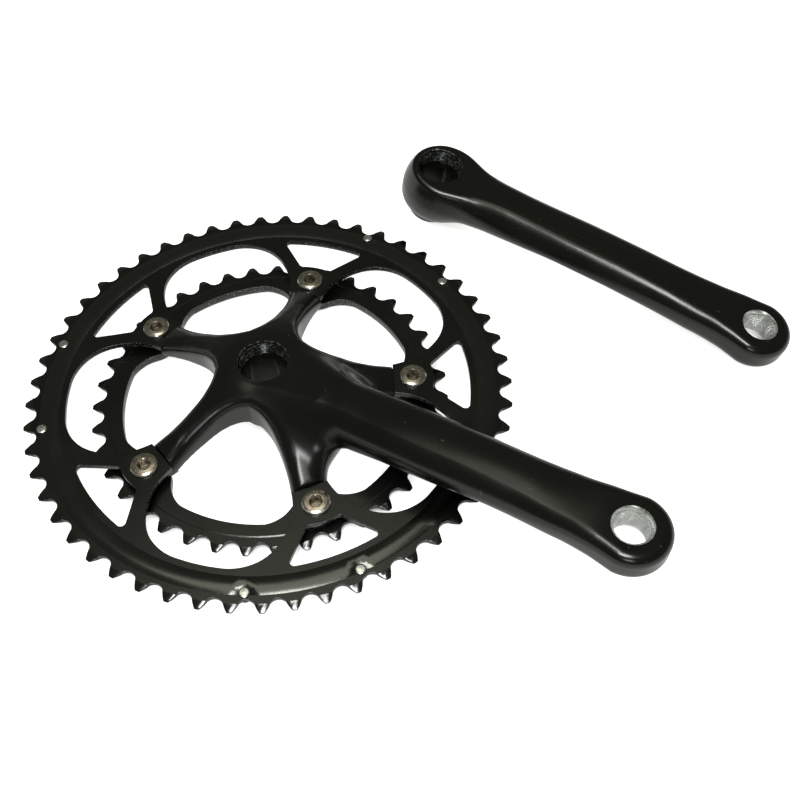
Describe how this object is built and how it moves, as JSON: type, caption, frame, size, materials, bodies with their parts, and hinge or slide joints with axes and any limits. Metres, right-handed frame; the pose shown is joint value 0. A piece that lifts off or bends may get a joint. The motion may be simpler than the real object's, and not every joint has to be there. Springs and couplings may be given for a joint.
{
  "type": "bicycle crankset",
  "caption": "Square-taper road crankset: right crank arm with five-leg spider and two bolted chainrings, and a loose left crank arm.",
  "frame": {"origin": "on the crank axis at the right arm's inboard boss face, which is also the ground the set lies on", "axes": "+Z along the crank axis, out of the right arm's outer face (up as it lies); +X from the crank axis to the right pedal hole"},
  "size_m": [0.2968, 0.2712, 0.047],
  "materials": {
    "arm_black": "gloss black paint over forged aluminium",
    "ring_black": "satin black anodised",
    "bolt_nickel": "nickel plated, satin",
    "pin_steel": "bare steel"
  },
  "bodies": {
    "drive_side": {"right_crank_arm": "arm_black", "big_chainring": "ring_black", "small_chainring": "ring_black", "chainring_bolt_1": "bolt_nickel", "chainring_bolt_2": "bolt_nickel", "chainring_bolt_3": "bolt_nickel", "chainring_bolt_4": "bolt_nickel", "chainring_bolt_5": "bolt_nickel", "chainring_nut_1": "bolt_nickel", "chainring_nut_2": "bolt_nickel", "chainring_nut_3": "bolt_nickel", "chainring_nut_4": "bolt_nickel", "chainring_nut_5": "bolt_nickel", "shift_pin_1": "pin_steel", "shift_pin_2": "pin_steel", "shift_pin_3": "pin_steel", "shift_pin_4": "pin_steel", "shift_pin_5": "pin_steel", "shift_pin_6": "pin_steel"},
    "left_arm": {"left_crank_arm": "arm_black"}
  },
  "joints": [
    {"name": "left_arm_lift", "type": "slide", "parent": "drive_side", "child": "left_arm", "axis": [0, 0, 1], "range_m": [0, 0.1]}
  ]
}
